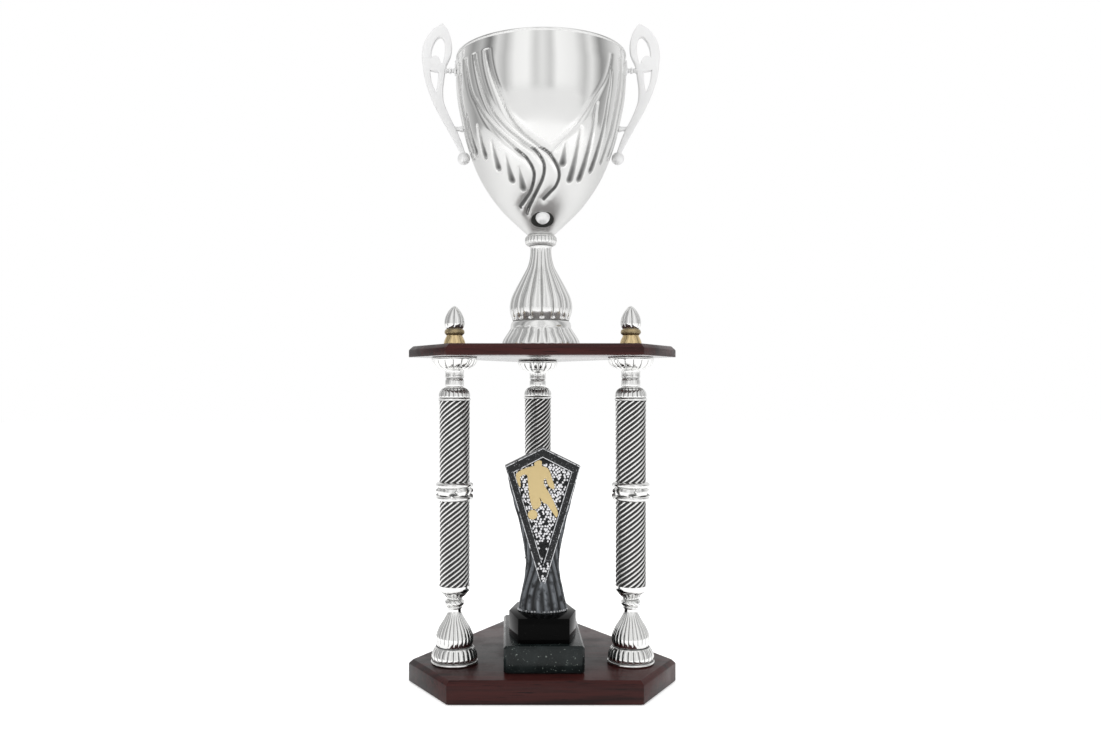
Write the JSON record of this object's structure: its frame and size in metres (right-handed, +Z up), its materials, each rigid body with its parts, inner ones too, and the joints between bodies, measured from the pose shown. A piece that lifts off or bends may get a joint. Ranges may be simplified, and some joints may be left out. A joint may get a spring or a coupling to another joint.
{
  "type": "trophy cup on columns",
  "caption": "Tall presentation trophy: two wooden boards on reeded columns, a plaque statuette between them and a two-handled cup with budded finials on top.",
  "frame": {"origin": "on the floor under the middle of the base board's box", "axes": "+Z up, the statuette faces -Y, the cup's handles lie along X"},
  "size_m": [0.2776, 0.2802, 0.699],
  "materials": {
    "baize": "thin glued cloth",
    "mahogany": "dark red-brown gloss lacquer",
    "column_chrome": "bright plating, black in the hollows",
    "steel": "zinc plated",
    "gilt": "bright gilt",
    "brass_insert": "turned",
    "bud_chrome": "bright plating",
    "cup_silver": "bright plating, toned in the hollows",
    "bowl_mirror": "mirror polish",
    "handle_silver": "pale frosted casting",
    "foam": "black foam",
    "dark_marble": "polished dark green stone",
    "black_gloss": "mirror black",
    "resin": "black resin dry-brushed with silver",
    "granules": "silver granules on black",
    "gold_plate": "satin gold foil"
  },
  "bodies": {
    "trophy": {"base_baize": "baize", "base_board": "mahogany", "top_board": "mahogany", "column_foot_left": "column_chrome", "column_socket_left": "column_chrome", "column_tube_lower_left": "column_chrome", "column_ring_left": "column_chrome", "column_tube_upper_left": "column_chrome", "column_dome_left": "column_chrome", "column_capital_left": "column_chrome", "tie_rod_left": "steel", "finial_socket_left": "gilt", "column_foot_right": "column_chrome", "column_socket_right": "column_chrome", "column_tube_lower_right": "column_chrome", "column_ring_right": "column_chrome", "column_tube_upper_right": "column_chrome", "column_dome_right": "column_chrome", "column_capital_right": "column_chrome", "tie_rod_right": "steel", "finial_socket_right": "gilt", "column_foot_back": "column_chrome", "column_socket_back": "column_chrome", "column_tube_lower_back": "column_chrome", "column_ring_back": "column_chrome", "column_tube_upper_back": "column_chrome", "column_dome_back": "column_chrome", "column_capital_back": "column_chrome", "tie_rod_back": "steel", "finial_socket_back": "gilt", "rod_nuts_lower": "steel", "rod_washers_lower": "steel", "rod_nuts_upper": "steel", "rod_washers_upper": "steel", "statuette_nut": "steel", "statuette_washer": "steel", "cup_nut": "steel", "cup_washer": "steel", "cup_stud": "steel", "cup_tee_nut": "steel", "handle_screws": "steel", "statuette_rod": "steel", "cup_foot": "cup_silver", "cup_vase": "cup_silver", "cup_collar": "cup_silver", "cup_bowl": "bowl_mirror", "handle_left": "handle_silver", "handle_right": "handle_silver", "pedestal_pad": "foam", "pedestal_stone": "dark_marble", "pedestal_plinth": "black_gloss", "statuette_body": "resin", "statuette_panel": "granules", "statuette_player": "gold_plate"},
    "insert_left": {"finial_insert_left": "brass_insert"},
    "bud_left": {"finial_bud_left": "bud_chrome"},
    "insert_right": {"finial_insert_right": "brass_insert"},
    "bud_right": {"finial_bud_right": "bud_chrome"},
    "insert_back": {"finial_insert_back": "brass_insert"},
    "bud_back": {"finial_bud_back": "bud_chrome"}
  },
  "joints": [
    {"name": "finial_rise_left", "type": "slide", "parent": "trophy", "child": "insert_left", "axis": [0, 0, 1], "range_m": [0, 0.01]},
    {"name": "finial_turn_left", "type": "hinge", "parent": "insert_left", "child": "bud_left", "pos_m": [-0.0905, -0.07575, 0.3652], "axis": [0, 0, 1], "range_deg": [0, 3600]},
    {"name": "finial_rise_right", "type": "slide", "parent": "trophy", "child": "insert_right", "axis": [0, 0, 1], "range_m": [0, 0.01]},
    {"name": "finial_turn_right", "type": "hinge", "parent": "insert_right", "child": "bud_right", "pos_m": [0.0905, -0.07575, 0.3652], "axis": [0, 0, 1], "range_deg": [0, 3600]},
    {"name": "finial_rise_back", "type": "slide", "parent": "trophy", "child": "insert_back", "axis": [0, 0, 1], "range_m": [0, 0.01]},
    {"name": "finial_turn_back", "type": "hinge", "parent": "insert_back", "child": "bud_back", "pos_m": [0, 0.081, 0.3652], "axis": [0, 0, 1], "range_deg": [0, 3600]}
  ],
  "couplings": [
    {"joint": "finial_rise_left", "follows": "finial_turn_left", "m_per_rad": 0.00015914},
    {"joint": "finial_rise_right", "follows": "finial_turn_right", "m_per_rad": 0.00015914},
    {"joint": "finial_rise_back", "follows": "finial_turn_back", "m_per_rad": 0.00015914}
  ]
}
